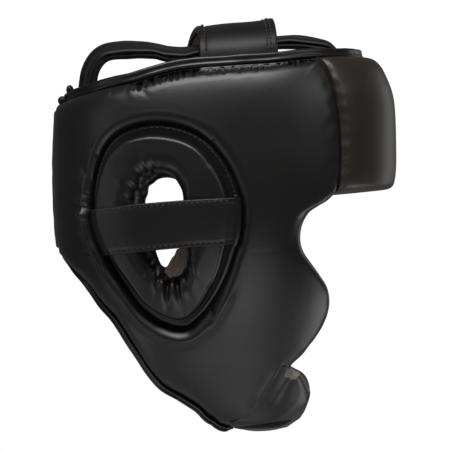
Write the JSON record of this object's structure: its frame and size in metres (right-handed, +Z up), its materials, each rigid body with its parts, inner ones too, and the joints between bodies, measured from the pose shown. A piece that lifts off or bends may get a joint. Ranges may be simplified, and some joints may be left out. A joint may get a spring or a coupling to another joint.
{
  "type": "boxing headgear",
  "caption": "Padded boxing headgear with side panels, forehead pad, teardrop ear rings, chin cup, crown strap and wide top band.",
  "frame": {"origin": "crown seat: the point on the underside of the crown strap that rests on top of the wearer's head, on the centre plane", "axes": "+Z up, the wearer looks along -Y, the wearer's right side is at -X; the side panels mirror across X=0"},
  "size_m": [0.221, 0.2669, 0.32],
  "materials": {
    "leather": "satin",
    "forehead_leather": "satin",
    "band_leather": "satin",
    "suede": "matte"
  },
  "bodies": {
    "root": {"side_panel_right": "leather", "side_panel_left": "leather", "forehead_pad": "forehead_leather", "ear_pad_right": "leather", "ear_pad_left": "leather", "ear_strap_right": "leather", "ear_strap_left": "leather", "rim_binding": "leather", "neck_binding_right": "leather", "neck_binding_left": "leather", "rear_closure": "leather", "chin_pad": "leather", "chin_lining": "suede", "crown_strap": "band_leather", "top_band": "band_leather"}
  },
  "joints": []
}
